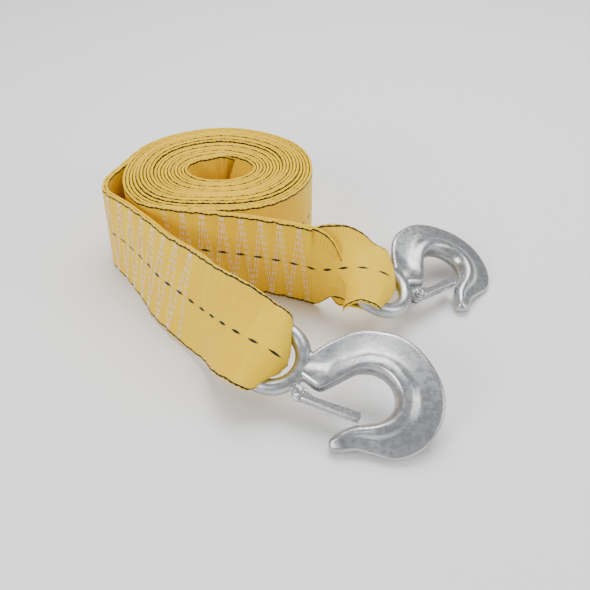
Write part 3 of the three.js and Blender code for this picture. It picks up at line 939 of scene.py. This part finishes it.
def floor_material(finishes):
    """Plain pale floor with a faint change of tone."""
    material, tree, shader = new_material("pale floor")
    place = tree.nodes.new("ShaderNodeTexCoord")
    tone = noise(tree, place.outputs["Object"], 3.0, 1.0, 0.4)
    pale = tuple(finishes.floor)
    darker = tuple(0.985 * channel for channel in pale)
    tree.links.new(mixed(tree, tone, pale, darker), shader.inputs["Base Color"])
    shader.inputs["Roughness"].default_value = 0.7
    return material


def finish_with(thing, material, body, slot, *nodes):
    """Material, body and replaced nodes of a finished piece; its slot is not used."""
    thing.data.materials.clear()
    thing.data.materials.append(material)
    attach(thing, body)
    if nodes:
        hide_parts(*nodes)


# Sewing.


def stitch_lines(sizes, length):
    """Starts and ends of the stitches of a zigzag that crosses the webbing and advances by one
    step a crossing: places along the sewn zone and across the webbing."""
    step = sizes.stitch_step
    half = sizes.width / 2 - STITCH_INSET * MM
    crossings = int(length / step)
    per_line = int(2 * half / sizes.stitch_length)
    line, stitch = np.meshgrid(np.arange(crossings), np.arange(per_line), indexing="ij")
    line, stitch = line.ravel(), stitch.ravel()
    starts, ends = ((stitch + share) / per_line for share in STITCH_SHARES)
    upward = line % 2 == 0

    def place(share):
        across = np.where(upward, -half + 2 * half * share, half - 2 * half * share)
        return (line + share) * step, across

    return place(starts), place(ends)


def pucker(along, across, sizes, half):
    """Depth that the stitch lines pull in: a bell round the nearest line of each slant."""
    step = sizes.stitch_step
    share = (across + half) / (2 * half)
    depth = 0
    for shift in (share, 1 + (1 - share)):
        off = (along / step - shift) % 2
        off = np.minimum(off, 2 - off) * step
        depth = depth + np.exp(-(off / (PUCKER_SPREAD * MM)) ** 2)
    return depth * sizes.pucker_depth


def stitches(run, start, length, sizes):
    """Threads on the outer face of a sewn zone: each stitch is a thin six-sided tube whose middle
    rises from the webbing and dips into it again by half a sine."""
    (s0, v0), (s1, v1) = stitch_lines(sizes, length)
    twin = np.repeat([0, TWIN_OFFSET * MM], len(s0))
    s0, s1, v0, v1 = np.tile(s0, 2) + twin, np.tile(s1, 2) + twin, np.tile(v0, 2), np.tile(v1, 2)
    t = np.linspace(0, 1, 5)
    along = start - (s0[:, None] + (s1 - s0)[:, None] * t)
    across = v0[:, None] + (v1 - v0)[:, None] * t
    bow = np.sin(np.pi * t) * STITCH_BOW * MM - STITCH_DIP * MM

    def carried(key):
        return np.stack([np.interp(along, run["travelled"], column) for column in run[key].T], axis=-1)

    out = unit(carried("out"))
    sideways = unit(carried("across"))
    middle = carried("centre") + sideways * across[..., None] + out * (sizes.thickness / 2 + bow)[..., None]
    direction = unit(np.gradient(middle, axis=1))
    bend = np.cross(direction, out)
    sides = 6
    turn = np.arange(sides) * 2 * np.pi / sides
    radius = sizes.thread_radius * np.array([0.35, 0.9, 1, 0.9, 0.35])
    ring = (bend[:, :, None] * np.cos(turn)[None, None, :, None]
            + out[:, :, None] * 0.7 * np.sin(turn)[None, None, :, None]) * radius[None, :, None, None]
    points = middle[:, :, None] + ring
    quads = grid_faces(len(t), sides)
    first = np.arange(sides)
    caps = np.stack([first[::-1], first + (len(t) - 1) * sides])
    offsets = (np.arange(len(points)) * len(t) * sides)[:, None, None]
    faces = (quads[None] + offsets).reshape(-1, 4).tolist() + (caps[None] + offsets).reshape(-1, 6).tolist()
    return points.reshape(-1, 3), faces


# Hooks.


def along_stations(values, samples):
    """Columns of a table carried along a centripetal curve through its rows."""
    return chain(np.array(values, float), samples)[0]


def hook_body():
    """Forged body: at each station the section runs from the inner edge to the outer edge,
    as thick as the bead profile says, with both edges rounded by a quarter of an ellipse."""
    columns = along_stations(HOOK_STATIONS, 150)
    inner, outer, bead, edge = columns[:, 0:2], columns[:, 2:4], columns[:, 4], columns[:, 5]
    share = (1 - np.cos(np.linspace(0, np.pi, 30))) / 2
    chord = np.linalg.norm(outer - inner, axis=1)
    profile = np.array(BEAD_PROFILE)
    height = chain(profile, 200)[0]
    height = np.interp(share, height[:, 0], height[:, 1])
    thick = edge[:, None] + (bead - edge)[:, None] * height[None]
    start = np.clip(share[None] * chord[:, None] / (bead[:, None] * INNER_ROUNDING), 0, 1)
    stop = np.clip((1 - share[None]) * chord[:, None] / (edge[:, None] * OUTER_ROUNDING), 0, 1)
    thick = thick * np.sqrt(1 - (1 - start) ** 2) * np.sqrt(1 - (1 - stop) ** 2) / 2
    flat = inner[:, None] + (outer - inner)[:, None] * share[None, :, None]
    near = np.concatenate([flat, thick[..., None]], axis=-1)
    far = np.concatenate([flat, -thick[..., None]], axis=-1)[:, -2:0:-1]
    return np.concatenate([near, far], axis=1)


def ring_points(radius, bar, around=96, section=32):
    """A torus: a circle of the bar's radius carried round a circle of the ring's radius."""
    turn, roll = np.meshgrid(
        np.linspace(0, 2 * np.pi, around, endpoint=False),
        np.linspace(0, 2 * np.pi, section, endpoint=False), indexing="ij")
    reach = radius + bar * np.cos(roll)
    return np.stack([reach * np.cos(turn), reach * np.sin(turn), bar * np.sin(roll)], axis=-1)


def lathe(outline, segments, centre=(0, 0, 0)):
    """A profile of radius and height turned about Z, closed by a point at each end."""
    outline = np.array(outline, float)
    turn = np.linspace(0, 2 * np.pi, segments, endpoint=False)
    rings = np.stack([
        outline[:, :1] * np.cos(turn), outline[:, :1] * np.sin(turn),
        np.repeat(outline[:, 1:], segments, axis=1)], axis=-1)
    return capped_tube(rings + np.array(centre, float))


def combined(parts):
    """Points and faces of several shells in one mesh."""
    points, faces, offset = [], [], 0
    for shell_points, shell_faces in parts:
        points.append(np.asarray(shell_points).reshape(-1, 3))
        faces += [[int(i) + offset for i in face] for face in shell_faces]
        offset += len(points[-1])
    return np.concatenate(points), faces


def baked(thing):
    """The object with its modifiers worked into its mesh."""
    bpy.context.view_layer.update()
    graph = bpy.context.evaluated_depsgraph_get()
    mesh = bpy.data.meshes.new_from_object(thing.evaluated_get(graph))
    old = thing.data
    thing.modifiers.clear()
    thing.data = mesh
    mesh.name = thing.name
    bpy.data.meshes.remove(old)
    return thing


def forged_hook(end, material):
    """Eye, body and lug: a torus, a swept section and a turned disc, melted into one skin and
    eased where they meet."""
    body = capped_tube(hook_body())
    ring = ring_points(EYE_RADIUS, EYE_BAR_RADIUS)
    around, section = ring.shape[:2]
    eye = (ring, grid_faces(around + 1, section) % (around * section))
    low = -(CHANNEL_INSIDE / 2 - RUNNING_GAP)
    high = low + LUG_THICKNESS
    soft, tip = 0.5, 0.2
    lug = lathe([
        (tip, low), (LUG_RADIUS - soft, low), (LUG_RADIUS, low + soft),
        (LUG_RADIUS, high - soft), (LUG_RADIUS - soft, high), (tip, high)], 40, PIVOT_FROM_EYE)
    points, faces = combined([body, eye, lug])
    thing = mesh_from(f"forged_hook_{end}", to_row(points, HOOKS[end]), faces)
    outwards(thing)
    melt = thing.modifiers.new("melt", "REMESH")
    melt.mode = "VOXEL"
    melt.voxel_size = SKIN_VOXEL * MM
    ease = thing.modifiers.new("ease", "SMOOTH")
    ease.factor = 0.5
    ease.iterations = 6
    baked(thing)
    smooth(thing)
    finish_with(thing, material, "strap", "forging", f"hook_{end}")


def latch(end, material):
    """A folded channel: two round eyes, each a disc's chords, that run into flanges whose lower
    edge is a broken line, joined by a web with a quarter circle at each corner."""
    half = CHANNEL_INSIDE / 2 + LATCH_SHEET / 2
    sheet = LATCH_SHEET / 2
    reach = LATCH_EYE_RADIUS - sheet
    chords, deep, long, bend = 16, 8, 22, 7
    x_eye = reach * np.cos(np.linspace(np.pi, np.pi / 4, chords))
    joint = x_eye[-1]
    low_eye = -reach * np.sin(np.linspace(0.02, 3 * np.pi / 4, chords))
    share = np.linspace(0, 1, deep)
    parts = []
    for side in (-1, 1):
        flat = np.stack([
            np.broadcast_to(x_eye[:, None], (chords, deep)), low_eye[:, None] * (1 - 2 * share),
            np.full((chords, deep), side * half)], axis=-1)
        parts.append((flat, grid_faces(chords, deep, wrap=False)))
    x = np.linspace(joint, LATCH_LENGTH, long)
    low = np.interp(x, [joint, LATCH_WAIST_AT, LATCH_LENGTH],
                    [low_eye[-1], sheet - LATCH_WAIST, LATCH_RISE - LATCH_DEPTH + sheet])
    high = np.full_like(x, LATCH_RISE - sheet)
    turn = np.linspace(0, np.pi / 2, bend)
    drop = LATCH_BEND * (1 - np.sin(turn))
    inwards = LATCH_BEND * (1 - np.cos(turn))
    side_y = np.concatenate([
        low[:, None] + (high - LATCH_BEND - low)[:, None] * share[None, :-1], high[:, None] - drop], axis=1)
    side_z = np.broadcast_to(np.concatenate([np.full(deep - 1, half), half - inwards]), side_y.shape)
    y = np.concatenate([side_y, side_y[:, ::-1]], axis=1)
    z = np.concatenate([-side_z, side_z[:, ::-1]], axis=1)
    channel = np.stack([np.broadcast_to(x[:, None], y.shape), y, z], axis=-1)
    parts.append((channel, grid_faces(*y.shape, wrap=False)))
    points, faces = combined(parts)
    slope = math.radians(LATCH_SLOPE)
    turned = points @ np.array([
        [math.cos(slope), math.sin(slope), 0], [-math.sin(slope), math.cos(slope), 0], [0, 0, 1]])
    thing = mesh_from(f"pressed_latch_{end}", to_row(turned, HOOKS[end], "pivot"), faces)
    weld = thing.modifiers.new("weld", "WELD")
    weld.merge_threshold = LATCH_WELD * MM
    wall = thing.modifiers.new("wall", "SOLIDIFY")
    wall.thickness = LATCH_SHEET * MM
    wall.offset = 0
    soft = thing.modifiers.new("soft", "BEVEL")
    soft.width = LATCH_SOFT_EDGE * MM
    soft.segments = 2
    soft.limit_method = "ANGLE"
    baked(thing)
    smooth(thing)
    finish_with(thing, material, f"latch_{end}", "latch", f"latch_{end}")


def rivet(end, material):
    """Hollow rivet: a turned profile with half a circle for each rolled head and a short bore."""
    half = CHANNEL_INSIDE / 2 + LATCH_SHEET + RUNNING_GAP
    head, rise, bore = RIVET_HEAD_RADIUS, RIVET_HEAD_THICKNESS, RIVET_BORE
    curve = np.linspace(0, np.pi, 9)
    middle = (head + bore) / 2
    rim = np.stack([middle + (head - bore) / 2 * np.cos(curve), half + rise * np.sin(curve)], axis=1)
    top = [(RIVET_RADIUS, half - 0.02), *rim.tolist(), (bore * 0.92, half - 1.2), (0.1, half - 1.3)]
    outline = [(radius, -height) for radius, height in reversed(top)] + top
    points, faces = lathe(outline, 32)
    thing = mesh_from(f"hollow_rivet_{end}", to_row(points, HOOKS[end], "pivot"), faces)
    outwards(thing)
    smooth(thing)
    finish_with(thing, material, "strap", "fastener", f"latch_rivet_{end}")


def spring(end, material):
    """Torsion spring: a round wire along a helix beside the lug, with a straight leg at its end."""
    low = -(CHANNEL_INSIDE / 2 - RUNNING_GAP) + LUG_THICKNESS + RUNNING_GAP + SPRING_WIRE / 2
    turn = np.linspace(0, 2 * np.pi * SPRING_TURNS, 60)
    coil = np.stack([
        SPRING_RADIUS * np.cos(turn), SPRING_RADIUS * np.sin(turn),
        low + turn / (2 * np.pi) * (SPRING_WIRE + SPRING_COIL_GAP)], axis=1)
    leg = coil[-1] + np.outer(np.linspace(0, 1, 8)[1:], SPRING_LEG)
    path = np.vstack([coil, leg])
    along = unit(np.gradient(path, axis=0))
    side = unit(np.cross(along, [0, 0, 1]))
    over = np.cross(side, along)
    roll = np.linspace(0, 2 * np.pi, 10, endpoint=False)
    rings = path[:, None] + SPRING_WIRE / 2 * (
        side[:, None] * np.cos(roll)[None, :, None] + over[:, None] * np.sin(roll)[None, :, None])
    points, faces = capped_tube(rings)
    thing = mesh_from(f"torsion_spring_{end}", to_row(points, HOOKS[end], "pivot"), faces)
    outwards(thing)
    smooth(thing)
    finish_with(thing, material, "strap", "spring", f"latch_spring_{end}")


class TOWSTRAP_OT_stage(bpy.types.Operator):
    """Set the camera, the floor and the soft studio light"""

    bl_idname = "towstrap.stage"
    bl_label = "Stage"

    def execute(self, context):
        finishes = context.scene.strap_finishes
        camera = bpy.data.cameras.new("camera")
        camera.lens = CAMERA_LENS
        camera.sensor_width = 36
        camera.clip_start = 0.01
        viewer = bpy.data.objects.new("camera", camera)
        viewer.location = ROLL_FOOT + np.array(CAMERA_FROM_ROLL) * MM
        viewer.rotation_euler = (math.radians(90 - CAMERA_PITCH), 0, 0)
        context.scene.collection.objects.link(viewer)
        context.scene.camera = viewer
        corners = [(-1, -1, 0), (1, -1, 0), (1, 1, 0), (-1, 1, 0)]
        floor = mesh_from("floor", np.array(corners) * FLOOR_HALF, [(0, 1, 2, 3)])
        floor.data.materials.append(floor_material(finishes))
        for name, place, turn, size, power in LIGHTS:
            lamp = bpy.data.lights.new(name, "AREA")
            lamp.size = size
            lamp.energy = power
            holder = bpy.data.objects.new(name, lamp)
            holder.location = place
            holder.rotation_euler = [math.radians(angle) for angle in turn]
            context.scene.collection.objects.link(holder)
        world = bpy.data.worlds.new("studio")
        world.use_nodes = True
        background = world.node_tree.nodes["Background"]
        background.inputs["Color"].default_value = (1, 1, 1, 1)
        background.inputs["Strength"].default_value = WORLD_STRENGTH
        context.scene.world = world
        return {"FINISHED"}


class TOWSTRAP_OT_webbing(bpy.types.Operator):
    """Make the webbing from cut end to cut end"""

    bl_idname = "towstrap.webbing"
    bl_label = "Webbing"

    def execute(self, context):
        sizes, finishes = context.scene.strap_sizes, context.scene.strap_finishes
        run = webbing_runs(sizes)["whole"]
        points, places = webbing_sections(run, sizes)
        vertices, faces = capped_tube(points)
        webbing = mesh_from("webbing", vertices, faces)
        ends = places[[0, -1]].mean(axis=1)
        add_uv(webbing, "webbing", np.concatenate([places.reshape(-1, 2), ends]))
        outwards(webbing)
        smooth(webbing)
        finish_with(webbing, webbing_material(sizes, finishes), "strap", "webbing", "webbing_strap")
        return {"FINISHED"}


class TOWSTRAP_OT_stitching(bpy.types.Operator):
    """Sew both loops with rows of zigzag thread"""

    bl_idname = "towstrap.stitching"
    bl_label = "Stitching"

    def execute(self, context):
        sizes, finishes = context.scene.strap_sizes, context.scene.strap_finishes
        runs = webbing_runs(sizes)
        material = thread_material(finishes)
        for end, _, _, _, plain, length in ENDS:
            run = runs[end]
            start = run["travelled"][-1] - plain * MM
            points, faces = stitches(run, start, (length - plain) * MM, sizes)
            thread = mesh_from(f"stitching_{end}", points, faces)
            smooth(thread)
            finish_with(thread, material, "strap", "webbing")
        return {"FINISHED"}


class TOWSTRAP_OT_hooks(bpy.types.Operator):
    """Make both forged hooks with their latches, rivets and springs"""

    bl_idname = "towstrap.hooks"
    bl_label = "Hooks"

    def execute(self, context):
        finishes = context.scene.strap_finishes
        forged = zinc_material("zinc forging", finishes.zinc, 0.27, 0.06, 0.6)
        pressed = zinc_material("zinc sheet", finishes.steel, 0.22, 0.001, 0.0, 2600.0, 900.0)
        wire = zinc_material("spring wire", finishes.steel, 0.2, 0.001, 0.0, 4000.0, 1500.0)
        for end in HOOKS:
            forged_hook(end, forged)
            latch(end, pressed)
            rivet(end, pressed)
            spring(end, wire)
        return {"FINISHED"}


class TOWSTRAP_PT_panel(bpy.types.Panel):
    """Sizes, finishes and pieces of the tow strap"""

    bl_label = "Tow Strap"
    bl_idname = "TOWSTRAP_PT_panel"
    bl_space_type = "VIEW_3D"
    bl_region_type = "UI"
    bl_category = "Tow Strap"

    def draw(self, context):
        for group in (context.scene.strap_sizes, context.scene.strap_finishes):
            for name in group.__annotations__:
                self.layout.prop(group, name)
        for operator in STEPS:
            self.layout.operator(operator.bl_idname)


STEPS = (TOWSTRAP_OT_stage, TOWSTRAP_OT_webbing, TOWSTRAP_OT_stitching, TOWSTRAP_OT_hooks)
CLASSES = (StrapSizes, StrapFinishes, *STEPS, TOWSTRAP_PT_panel)


def register():
    """Register the classes and hang the settings on the scene."""
    for item in CLASSES:
        bpy.utils.register_class(item)
    bpy.types.Scene.strap_sizes = bpy.props.PointerProperty(type=StrapSizes)
    bpy.types.Scene.strap_finishes = bpy.props.PointerProperty(type=StrapFinishes)


def unregister():
    """Take the settings and the classes away again."""
    del bpy.types.Scene.strap_finishes
    del bpy.types.Scene.strap_sizes
    for item in reversed(CLASSES):
        bpy.utils.unregister_class(item)


def main():
    register()
    bpy.ops.towstrap.stage()
    bpy.ops.towstrap.webbing()
    bpy.ops.towstrap.stitching()
    bpy.ops.towstrap.hooks()


if __name__ == "__main__":
    main()
